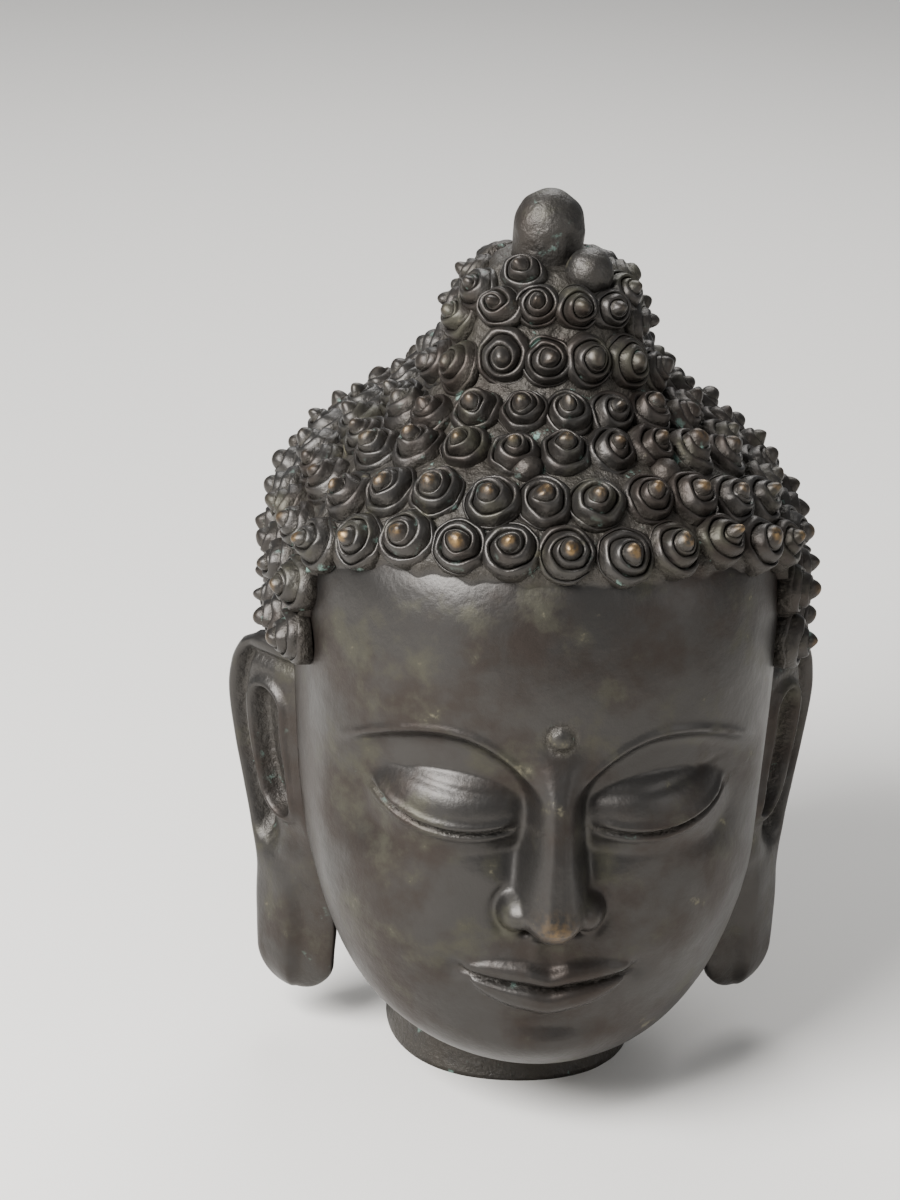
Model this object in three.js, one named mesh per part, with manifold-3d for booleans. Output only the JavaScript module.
// A small cast bronze head with snail-shell curls, long ears and a bullet-shaped jewel on its topknot.
// It is one casting that stands on the flat foot of its own neck.
// Frame: millimetres, +Z up, the face looks along -Y, the origin is the middle of the neck's underside.

import * as THREE from "three";
import { mergeVertices } from "three/addons/utils/BufferGeometryUtils.js";
import Module from "manifold-3d";

const wasm = await Module();
wasm.setup();

// Driving sizes of the head.
const HEAD_HEIGHT = 109; // from the neck's underside to the top of the jewel
const FACE_HALF_WIDTH = 29.4; // at the temples, without hair or ears
const FACE_REACH = 32.3; // from the axis forward to the brow
const SKULL_REACH = 34.0; // from the axis back to the back of the skull
const NECK_HALF_WIDTH = 15.5;
const NECK_REACH = 16.5; // from the axis to the neck's front and back
const HEAD_ASIDE = 0.7; // how far the head stands to the right of its own neck
const HAIR_THICKNESS = 1.8; // of the cap of hair over the skin, without its curls
const HIDDEN_DEPTH = 8; // how far under the skin a row of curls closes where it doesn't show

// Driving sizes of the curls. Each one fills a six-sided cell of its row.
const CURL_HEIGHT = 3.6; // at the hairline, from the cap of hair to the curl's tip
const TOP_CURL_HEIGHT = 3.0; // on the topknot
const CURL_SPACING = 7.0; // along a row at the hairline, from tip to tip
const TOP_CURL_SPACING = 5.9; // on the topknot
const ROW_FILL = 0.47; // a curl's half height over the way to the next row
const SHOULDER = { share: 0.8, rise: 0.45 }; // a curl's outer coil, in shares of its cell and height
const EYE = { share: 0.38, rise: 0.86 }; // its rounded middle

// Driving sizes of the ears, the jewel and the loose pellets of wax between the curls.
const EAR_LENGTH = 46.4;
const EAR_TOP = 51.8; // height of the ear's top over the neck's underside
const EAR_THICKNESS = 3.8;
const EAR_HOLLOW = 1.5; // depth of the grooves between the ear's folds
const JEWEL_RADIUS = 4.3;
const JEWEL_LENGTH = 11.5; // of which the lower end is sunk in the topknot
const JEWEL_PLACE = { aside: 0.5, back: 2.4 };
const JEWEL_DOME = 1.15; // height of its round top over its radius
const JEWEL_FOOT = 0.86; // radius of its lower end over its own
const BEAD_RADIUS = 2.9;
const BEAD_PLACE = { aside: 4.9, back: -3.0, up: 0.921 }; // up is a share of the head's height
const PELLET_RADIUS = 2.0;
const PELLET_SUNK = 0.6; // how far its middle lies under the cap of hair

// Driving sizes of the face, on the sculptor's canon: the face is twelve parts wide, and from the
// hairline to the chin it is three equal thirds, one each for the forehead, the nose and the jaw.
const FACE_PART = (2 * FACE_HALF_WIDTH) / 12;
const HAIRLINE = 0.656 * HEAD_HEIGHT;
const CHIN = 0.073 * HEAD_HEIGHT;
const FACE_THIRD = (HAIRLINE - CHIN) / 3;
const BROW_LINE = CHIN + 2 * FACE_THIRD;
const NOSE_BASE = CHIN + FACE_THIRD;
const MOUTH_LINE = NOSE_BASE - FACE_THIRD / 3;
const EYE_LINE = BROW_LINE - 0.36 * FACE_THIRD;

// How finely the faceted solid follows the form.
const SKIN_COLUMNS = 40; // around the head, closest together at the nose
const COLUMN_CROWDING = 1.5; // 1 would space the columns evenly

// The ovals that the head is lofted through, from the neck's foot to the topknot's tip. front, side and
// back are heights in shares of the head's height; wide, ahead and behind are shares of the neck's,
// face's or skull's own reach; rows is how many rows of facets lead to the next oval.
const NECK = { wide: NECK_HALF_WIDTH, ahead: NECK_REACH, behind: NECK_REACH };
const SKULL = { wide: FACE_HALF_WIDTH, ahead: FACE_REACH, behind: SKULL_REACH };
const OVALS = [
  { of: NECK, front: 0.0, side: 0.0, back: 0.0, wide: 1.0, ahead: 1.0, behind: 1.03, rows: 1 },
  { of: NECK, front: 0.038, side: 0.05, back: 0.06, wide: 0.96, ahead: 0.95, behind: 1.0, rows: 1 },
  { of: NECK, front: 0.056, side: 0.092, back: 0.115, wide: 1.02, ahead: 1.04, behind: 1.05, rows: 1 },
  { of: SKULL, front: 0.062, side: 0.112, back: 0.14, wide: 0.65, ahead: 0.67, behind: 0.56, rows: 1 },
  { of: SKULL, front: 0.079, side: 0.14, back: 0.17, wide: 0.755, ahead: 0.82, behind: 0.63, rows: 2 },
  { of: SKULL, front: 0.117, side: 0.19, back: 0.215, wide: 0.855, ahead: 0.905, behind: 0.72, rows: 4 },
  { of: SKULL, front: 0.195, side: 0.262, back: 0.295, wide: 0.935, ahead: 0.955, behind: 0.84, rows: 4 },
  { of: SKULL, front: 0.275, side: 0.335, back: 0.378, wide: 0.972, ahead: 0.975, behind: 0.93, rows: 4 },
  { of: SKULL, front: 0.367, side: 0.413, back: 0.46, wide: 0.99, ahead: 0.985, behind: 0.98, rows: 5 },
  { of: SKULL, front: 0.468, side: 0.495, back: 0.532, wide: 1.0, ahead: 1.0, behind: 1.0, rows: 3 },
  { of: SKULL, front: 0.569, side: 0.573, back: 0.597, wide: 1.0, ahead: 0.985, behind: 0.985, rows: 2 },
  { of: SKULL, front: 0.652, side: 0.642, back: 0.652, wide: 0.955, ahead: 0.915, behind: 0.925, rows: 1 },
  { of: SKULL, front: 0.715, side: 0.697, back: 0.702, wide: 0.78, ahead: 0.745, behind: 0.77, rows: 1 },
  { of: SKULL, front: 0.757, side: 0.74, back: 0.742, wide: 0.565, ahead: 0.52, behind: 0.6, rows: 1 },
  { of: SKULL, front: 0.797, side: 0.787, back: 0.787, wide: 0.405, ahead: 0.35, behind: 0.44, rows: 1 },
  { of: SKULL, front: 0.85, side: 0.846, back: 0.846, wide: 0.32, ahead: 0.25, behind: 0.36, rows: 1 },
  { of: SKULL, front: 0.9, side: 0.9, back: 0.9, wide: 0.225, ahead: 0.155, behind: 0.27, rows: 1 },
  { of: SKULL, front: 0.932, side: 0.932, back: 0.932, wide: 0.1, ahead: 0.03, behind: 0.15, rows: 1 },
];
const SQUARENESS = 2.25; // 2 is an ellipse; a little more fills out the temples and the jaw
const TOP_OVAL = OVALS.length - 1;
const NECK_OVALS = OVALS.filter((oval) => oval.of === NECK).length;

// Where the hair starts, as an angle in degrees from the middle of the face.
const BEHIND_EARS = 118;
const TEMPLES = 63;

// Rows of curls from the nape to the topknot: the oval that each lies on at the head's sides, the angle
// at which it starts, and the angle in degrees of one of its tips where it runs all the way round.
const CURL_ROWS = [
  ...[5.75, 6.7, 7.6, 8.45].map((oval) => ({ oval, from: BEHIND_EARS })),
  ...[9.4, 10.2].map((oval) => ({ oval, from: TEMPLES })),
  { oval: 10.9, from: 0, tip: 0.5 },
  { oval: 11.57, from: 0, tip: -5.5 },
  { oval: 12.37, from: 0, tip: 0.5 },
  { oval: 13.17, from: 0, tip: 4 },
  { oval: 14.25, from: 0, tip: -7 },
  { oval: 15.2, from: 0, tip: -16 },
  { oval: 15.75, from: 0, tip: -39, bareTo: 60 },
];
const FRONT_RISE = { ovals: 0.5, from: 35, to: 70 }; // rows round the crown run higher over the forehead
const [CROWN_START, CROWN_END] = [CURL_ROWS[6].oval, CURL_ROWS.at(-1).oval];
const HIDDEN_STEPS = 4; // points that close a row through the inside of the skull
const HAIR_TOP = 2; // how far behind the axis the cap of hair closes over the topknot

// Loose pellets of wax between the curls: the oval and the angle in degrees of each.
const PELLETS = [
  { oval: 12.6, angle: -11 },
  { oval: 12.45, angle: 33 },
];

const lerp = THREE.MathUtils.lerp;
const smooth = THREE.MathUtils.smoothstep;
const degrees = THREE.MathUtils.degToRad;
const wrap = THREE.MathUtils.euclideanModulo;

/** A bump that is 1 at the middle and falls to nothing, smoothly, about one width away. */
const bump = (distance, width) => Math.exp(-((distance / width) ** 2));

/** Reads a smooth curve through evenly numbered values at a place between them. */
function between(values, at) {
  const i = THREE.MathUtils.clamp(Math.floor(at), 0, values.length - 2);
  const before = values[Math.max(i - 1, 0)];
  const after = values[Math.min(i + 2, values.length - 1)];
  const s = at - i;
  const rise = (values[i + 1] - before) / 2;
  const fall = (after - values[i]) / 2;
  const step = values[i + 1] - values[i];
  return values[i] + s * rise + s * s * (3 * step - 2 * rise - fall) + s ** 3 * (rise + fall - 2 * step);
}

const LOFT = {
  front: OVALS.map((o) => o.front * HEAD_HEIGHT),
  side: OVALS.map((o) => o.side * HEAD_HEIGHT),
  back: OVALS.map((o) => o.back * HEAD_HEIGHT),
  wide: OVALS.map((o) => o.wide * o.of.wide),
  ahead: OVALS.map((o) => o.ahead * o.of.ahead),
  behind: OVALS.map((o) => o.behind * o.of.behind),
};

/** A point of the bare head: which oval, at which angle from the face's middle, pushed out by lift. */
function headPoint(oval, angle, lift = 0) {
  const read = ([name, values]) => [name, between(values, oval)];
  const size = Object.fromEntries(Object.entries(LOFT).map(read));
  const ahead = Math.cos(angle);
  const aside = Math.sin(angle);
  const middle = (size.behind - size.ahead) / 4; // the oval is widest a little behind the axis
  const reach = ahead > 0 ? size.ahead + middle : size.behind - middle;
  const sum = Math.abs(ahead / reach) ** SQUARENESS + Math.abs(aside / size.wide) ** SQUARENESS;
  const radius = sum ** (-1 / SQUARENESS) + lift;
  const end = ahead > 0 ? size.front : size.back;
  return new THREE.Vector3(
    radius * aside + HEAD_ASIDE * smooth(oval, NECK_OVALS - 2, NECK_OVALS),
    middle - radius * ahead,
    size.side + (end - size.side) * ahead * ahead,
  );
}

/** The outward direction of the bare head's surface. */
function headNormal(oval, angle) {
  const step = 0.05;
  const around = headPoint(oval, angle + step).sub(headPoint(oval, angle - step));
  const up = headPoint(oval + step, angle).sub(headPoint(oval - step, angle));
  return around.cross(up).normalize();
}

/** How far the carving of the face stands out of the bare head, by place across and up the face. */
function faceRelief(x, z) {
  const across = Math.abs(x) / FACE_PART;
  const up = (z - NOSE_BASE) / FACE_THIRD; // 0 under the nose, 1 at the brow line
  const mouth = (z - MOUTH_LINE) / FACE_THIRD;
  const eyes = (z - EYE_LINE) / FACE_THIRD;
  const underBrow = (browHeight(across) - (z - BROW_LINE)) / FACE_PART;
  const socket = -2.6 * smooth(underBrow, -0.1, 0.55) * smooth(up, 0.2, 0.55) * bump(across - 2.3, 2.0);
  const lid = 3.0 * Math.max(0, 1 - ((across - 2.65) / 2.15) ** 2 - (eyes / 0.27) ** 2) ** 0.7;
  const flare = lerp(1.35, 0.9, smooth(up, 0.05, 0.5));
  const height = lerp(7.8, 3.2, smooth(up, 0.05, 1.0));
  const ends = smooth(up, -0.06, 0.06) * (1 - smooth(up, 0.85, 1.25));
  const nose = height * ends * (1 - smooth(across, 0.1, flare));
  const wing = 2.6 * bump(across - 0.85, 0.42) * bump(up - 0.1, 0.12);
  const muzzle = 1.5 * bump(across, 2.6) * bump(mouth + 0.03, 0.36);
  const lips = 1.8 * bump(across, 1.7) * bump(Math.abs(mouth) - 0.09, 0.08);
  const chin = 1.8 * bump(across, 1.7) * bump((z - CHIN) / FACE_THIRD - 0.24, 0.2);
  const cheek = 1.0 * bump(across - 3.4, 1.9) * bump(up - 0.02, 0.5);
  return socket + lid + nose + wing + muzzle + lips + chin + cheek;
}

/** The brow's arch, as a height over the brow line: from the nose's root to a peak over the eye. */
function browHeight(across) {
  const inner = -4.0 + 7.0 * Math.sin((Math.PI / 2) * THREE.MathUtils.clamp((across - 0.35) / 2.3, 0, 1));
  return across < 2.65 ? inner : 3.0 - 0.62 * (across - 2.65) ** 2;
}

/** A closed mesh from a table of points: rows of equal length that run round, closed at both ends. */
function closedLoft(rows, foot, tip) {
  const around = rows[0].length;
  const points = [...rows.flat(), foot, tip];
  const faces = [];
  for (let row = 0; row < rows.length - 1; row++) {
    for (let i = 0; i < around; i++) {
      const a = row * around + i;
      const b = row * around + ((i + 1) % around);
      const [c, d] = [b + around, a + around];
      const isRising = points[a].distanceTo(points[c]) <= points[b].distanceTo(points[d]);
      faces.push(...(isRising ? [a, b, c, a, c, d] : [a, b, d, b, c, d]));
    }
  }
  const last = (rows.length - 1) * around;
  for (let i = 0; i < around; i++) {
    const next = (i + 1) % around;
    faces.push(next, i, points.length - 2, last + i, last + next, points.length - 1);
  }
  const geometry = new THREE.BufferGeometry().setFromPoints(points);
  geometry.setIndex(faces);
  return geometry;
}

/** A manifold-3d solid of a closed geometry, with its shared vertices merged. */
function toSolid(geometry) {
  const bare = geometry.clone();
  bare.deleteAttribute("normal");
  bare.deleteAttribute("uv");
  const merged = mergeVertices(bare, 1e-4);
  const corners = merged.index.array;
  const kept = [];
  for (let i = 0; i < corners.length; i += 3) {
    const [a, b, c] = corners.slice(i, i + 3);
    if (a !== b && b !== c && c !== a) kept.push(a, b, c);
  }
  const vertProperties = new Float32Array(merged.attributes.position.array);
  return new wasm.Manifold(new wasm.Mesh({ numProp: 3, vertProperties, triVerts: new Uint32Array(kept) }));
}

/** The angles of the columns, crowded towards the middle of the face. */
function columnAngles() {
  const half = SKIN_COLUMNS / 2;
  return Array.from({ length: SKIN_COLUMNS }, (_, i) => {
    const share = (i - half + 1) / half;
    return Math.PI * Math.sign(share) * Math.abs(share) ** COLUMN_CROWDING;
  });
}

/** Neck, face and skull without hair, as one closed loft from the foot to inside the topknot. */
function skinGeometry() {
  const levels = OVALS.slice(0, -1).flatMap((oval, i) =>
    Array.from({ length: oval.rows }, (_, k) => i + k / oval.rows),
  );
  const angles = columnAngles();
  const rows = levels.map((oval) =>
    angles.map((angle) => {
      const bare = headPoint(oval, angle);
      return headPoint(oval, angle, bare.y < 0 ? faceRelief(bare.x - HEAD_ASIDE, bare.z) : 0);
    }),
  );
  return closedLoft(rows, new THREE.Vector3(0, 0, 0), headPoint(TOP_OVAL, 0).setX(0));
}

/** A point of the cap of hair, or over it. */
function capPoint(oval, angle, lift = 0) {
  return headPoint(oval, angle).addScaledVector(headNormal(oval, angle), HAIR_THICKNESS + lift);
}

/** How far a row has gone from the hairline, 0, to the topknot, 1. */
const onTop = ({ oval }) => smooth(oval, CROWN_START, CROWN_END);

/** The oval of a row at an angle. */
function rowOval({ oval, from }, angle) {
  if (from > 0) return oval;
  const turn = Math.abs(wrap(angle + Math.PI, 2 * Math.PI) - Math.PI);
  return oval + FRONT_RISE.ovals * (1 - smooth(turn, degrees(FRONT_RISE.from), degrees(FRONT_RISE.to)));
}

/** The angles of a row's curls, and half the angle from one to the next. */
function curlAngles(row) {
  const start = degrees(row.from);
  const loop = Array.from({ length: 48 }, (_, i) => headPoint(row.oval, (i / 24) * Math.PI, HAIR_THICKNESS));
  const girth = loop.reduce((sum, p, i) => sum + p.distanceTo(loop[(i + 1) % loop.length]), 0);
  const run = 2 * (Math.PI - start);
  const count = Math.round((girth * run) / (2 * Math.PI * lerp(CURL_SPACING, TOP_CURL_SPACING, onTop(row))));
  const half = run / count / 2;
  const first = row.from > 0 ? start + half : degrees(row.tip);
  return { half, angles: Array.from({ length: count }, (_, i) => first + 2 * half * i) };
}

/** Whether a curl's place is left bare, in front of the jewel's foot. */
function isBare({ tip, bareTo }, angle) {
  return bareTo !== undefined && angle > degrees(tip) && angle < degrees(bareTo);
}

/** The same ring, started at its first point past the front, with its angles counted from there. */
function fromFront(ring) {
  const turned = ring.map((p) => ({ ...p, angle: wrap(p.angle, 2 * Math.PI) }));
  return turned.sort((a, b) => a.angle - b.angle);
}

/** The hair: rows of curls on a cap, each row closed through the skull, with strips between the rows. */
function hairGeometry() {
  const points = [];
  const faces = [];
  const add = (point) => points.push(point) - 1;
  const ringFace = (lower, upper) =>
    lower.forEach((a, i) => {
      const next = (i + 1) % lower.length;
      faces.push(a, lower[next], upper[next], a, upper[next], upper[i]);
    });
  /** Joins a ring to one with half as many points. */
  const narrow = (ring, inner) =>
    inner.forEach((near, i) => {
      const [a, b, c] = [0, 1, 2].map((step) => ring[(2 * i + step) % ring.length]);
      const next = inner[(i + 1) % inner.length];
      faces.push(a, b, near, b, next, near, b, c, next);
    });
  const fan = (ring, tip) => ring.forEach((a, i) => faces.push(a, ring[(i + 1) % ring.length], tip));

  const addRow = (row, number) => {
    const { half, angles } = curlAngles(row);
    const gap = (CURL_ROWS[number + 1] ?? { oval: TOP_OVAL }).oval - row.oval;
    const edge = (angle, rise = 0) => add(capPoint(rowOval(row, angle) + rise * ROW_FILL * gap, angle));
    const middles = angles.map((angle) => ({ angle: angle - half, index: edge(angle - half) }));
    const end = { angle: angles.at(-1) + half, index: middles[0].index };
    const hidden = [];
    if (row.from > 0) {
      end.index = edge(end.angle);
      for (let i = 1; i < HIDDEN_STEPS; i++) {
        const angle = end.angle + (i / HIDDEN_STEPS) * 2 * degrees(row.from);
        hidden.push({ angle, index: add(headPoint(row.oval, angle, -HIDDEN_DEPTH)) });
      }
    }
    const lower = [];
    const upper = [];
    angles.forEach((angle, i) => {
      const [left, right] = [middles[i], middles[i + 1] ?? end];
      const corner = (side, rise) => {
        const at = angle + (side * half) / 2;
        return { angle: at, index: edge(at, rise) };
      };
      const [lowLeft, lowRight, highRight, highLeft] = [
        corner(-1, -1), corner(1, -1), corner(1, 1), corner(-1, 1),
      ];
      lower.push(left, lowLeft, lowRight);
      upper.push(left, highLeft, highRight);
      const rim = [left, lowLeft, lowRight, right, highRight, highLeft].map((p) => p.index);
      const middle = rowOval(row, angle);
      if (isBare(row, angle)) {
        fan(rim, add(capPoint(middle, angle)));
        return;
      }
      const height = lerp(CURL_HEIGHT, TOP_CURL_HEIGHT, onTop(row));
      const inset = (ring, { share, rise }) => {
        const foot = capPoint(middle, angle);
        const raised = headNormal(middle, angle).multiplyScalar(rise * height);
        return ring.map((index) => add(foot.clone().lerp(points[index], share).add(raised)));
      };
      const shoulder = inset(rim, SHOULDER);
      const eye = inset([rim[0], rim[2], rim[4]], EYE);
      ringFace(rim, shoulder);
      narrow(shoulder, eye);
      fan(eye, add(capPoint(middle, angle, height)));
    });
    if (hidden.length) [lower, upper].forEach((ring) => ring.push(end, ...hidden));
    return { lower, upper };
  };

  /** Fills the strip between two rings that run round side by side. */
  const zip = (lower, upper) => {
    const at = (ring, i) => ring[i % ring.length].angle + (i >= ring.length ? 2 * Math.PI : 0);
    const index = (ring, i) => ring[i % ring.length].index;
    let [i, j] = [0, 0];
    while (i < lower.length || j < upper.length) {
      const isLower = j === upper.length || (i < lower.length && at(lower, i + 1) <= at(upper, j + 1));
      const third = isLower ? index(lower, i + 1) : index(upper, j + 1);
      faces.push(index(lower, i), third, index(upper, j));
      if (isLower) i += 1;
      else j += 1;
    }
  };
  const rows = CURL_ROWS.map(addRow).map(({ lower, upper }) => ({
    lower: fromFront(lower),
    upper: fromFront(upper),
  }));
  const foot = add(new THREE.Vector3(0, 0, NOSE_BASE));
  const crown = headPoint(TOP_OVAL, 0);
  const tip = add(new THREE.Vector3(HEAD_ASIDE, HAIR_TOP, crown.z + HAIR_THICKNESS));
  fan(rows[0].lower.map((p) => p.index).reverse(), foot);
  rows.slice(1).forEach((row, i) => zip(rows[i].upper, row.lower));
  fan(rows.at(-1).upper.map((p) => p.index), tip);
  const geometry = new THREE.BufferGeometry().setFromPoints(points);
  geometry.setIndex(faces);
  return geometry;
}

// The ear's sections from its top to the end of its lobe. down is a share of its length; the inner and
// outer edges are places out from the head's side and back from the axis; full is how thick it is, and
// folded how deep its folds.
const EAR_SECTIONS = [
  { down: 0.0, inner: [-0.8, 0.0], outer: [3.9, 4.0], full: 0.5, folded: 0 },
  { down: 0.035, inner: [-1.2, -1.6], outer: [5.5, 6.2], full: 0.85, folded: 0.1 },
  { down: 0.1, inner: [-1.4, -2.6], outer: [6.6, 7.8], full: 1.0, folded: 1.0 },
  { down: 0.2, inner: [-1.6, -3.6], outer: [6.9, 8.3], full: 1.0, folded: 1.0 },
  { down: 0.33, inner: [-2.2, -4.6], outer: [6.0, 7.6], full: 1.0, folded: 1.0 },
  { down: 0.46, inner: [-3.2, -5.4], outer: [4.8, 6.1], full: 1.0, folded: 1.0 },
  { down: 0.57, inner: [-4.4, -6.0], outer: [3.9, 4.6], full: 1.0, folded: 0.8 },
  { down: 0.66, inner: [-5.2, -6.3], outer: [3.4, 3.4], full: 1.08, folded: 0.1 },
  { down: 0.78, inner: [-5.8, -6.0], outer: [3.4, 2.6], full: 1.2, folded: 0 },
  { down: 0.89, inner: [-5.6, -5.2], outer: [3.2, 2.2], full: 1.2, folded: 0 },
  { down: 0.96, inner: [-4.2, -4.0], outer: [2.0, 1.4], full: 1.0, folded: 0 },
  { down: 1.0, inner: [-2.2, -2.4], outer: [0.2, -0.2], full: 0.4, folded: 0 },
];
// The folds across an ear: how far along the section, how high over its hollow, and on which face.
const EAR_FOLDS = [
  { along: 0.0, lift: 0.0 },
  { along: 0.16, lift: 0.5, fold: 0.55 },
  { along: 0.34, lift: 0.62, fold: -0.9 },
  { along: 0.52, lift: 0.66, fold: 0.2 },
  { along: 0.7, lift: 0.6, fold: -1.0 },
  { along: 0.88, lift: 0.5, fold: 0.5 },
  { along: 1.0, lift: 0.0 },
  { along: 0.82, lift: -0.45 },
  { along: 0.5, lift: -0.5 },
  { along: 0.18, lift: -0.45 },
];

/** One ear, on the right (side 1) or the left (side -1) as seen from the front. */
function earGeometry(side) {
  const rows = EAR_SECTIONS.map(({ down, inner, outer, full, folded }) => {
    const a = new THREE.Vector2(...inner);
    const b = new THREE.Vector2(...outer);
    const along = b.clone().sub(a).normalize();
    const out = new THREE.Vector2(along.y, -along.x);
    const height = EAR_TOP - down * EAR_LENGTH;
    return EAR_FOLDS.map(({ along: share, lift, fold = 0 }) => {
      const stand = lift * EAR_THICKNESS * full + fold * EAR_HOLLOW * folded;
      const p = a.clone().lerp(b, share).addScaledVector(out, stand);
      return new THREE.Vector3(HEAD_ASIDE + side * (FACE_HALF_WIDTH + p.x), p.y, height);
    });
  });
  rows.reverse(); // the loft runs upwards, and its rows run the other way round on the left
  if (side < 0) rows.forEach((row) => row.reverse());
  const middle = (row) => row.reduce((sum, p) => sum.add(p), new THREE.Vector3()).divideScalar(row.length);
  return closedLoft(rows, middle(rows[0]), middle(rows.at(-1)));
}

/** The bullet-shaped jewel. */
function jewelGeometry() {
  const turns = [0, 0.33, 0.67].map((share) => (share * Math.PI) / 2);
  const dome = turns.map((turn) => {
    const height = HEAD_HEIGHT - JEWEL_DOME * JEWEL_RADIUS * (1 - Math.sin(turn));
    return new THREE.Vector2(JEWEL_RADIUS * Math.cos(turn), height);
  });
  const from = HEAD_HEIGHT - JEWEL_LENGTH;
  const foot = [new THREE.Vector2(0, from), new THREE.Vector2(JEWEL_FOOT * JEWEL_RADIUS, from)];
  const outline = [...foot, ...dome, new THREE.Vector2(0, HEAD_HEIGHT)];
  const jewel = new THREE.LatheGeometry(outline, 12).rotateX(Math.PI / 2);
  return jewel.translate(JEWEL_PLACE.aside, JEWEL_PLACE.back, 0);
}

/** The bead beside the jewel and the pellets between the curls. */
function pelletGeometries() {
  const bead = new THREE.SphereGeometry(BEAD_RADIUS, 8, 6);
  bead.translate(BEAD_PLACE.aside, BEAD_PLACE.back, BEAD_PLACE.up * HEAD_HEIGHT);
  const pellets = PELLETS.map(({ oval, angle }) => {
    const { x, y, z } = capPoint(oval, degrees(angle), -PELLET_SUNK);
    return new THREE.SphereGeometry(PELLET_RADIUS, 6, 4).translate(x, y, z);
  });
  return [bead, ...pellets];
}

/** The whole casting: the head with its curls, ears and jewel joined on. */
function castHead() {
  const joined = [
    toSolid(skinGeometry()),
    toSolid(hairGeometry()),
    toSolid(earGeometry(1)),
    toSolid(earGeometry(-1)),
    toSolid(jewelGeometry()),
    ...pelletGeometries().map(toSolid),
  ].reduce((whole, piece) => whole.add(piece));
  const mesh = joined.getMesh();
  const geometry = new THREE.BufferGeometry();
  geometry.setAttribute("position", new THREE.BufferAttribute(new Float32Array(mesh.vertProperties), 3));
  geometry.setIndex(new THREE.BufferAttribute(new Uint32Array(mesh.triVerts), 1));
  geometry.computeVertexNormals();
  return geometry;
}

const bronze = new THREE.MeshStandardMaterial({ color: 0x3a302b, roughness: 0.38, metalness: 0.85 });
const head = new THREE.Mesh(castHead(), bronze);
head.name = "cast_head";

const part = new THREE.Group();
part.add(head);

export default part;
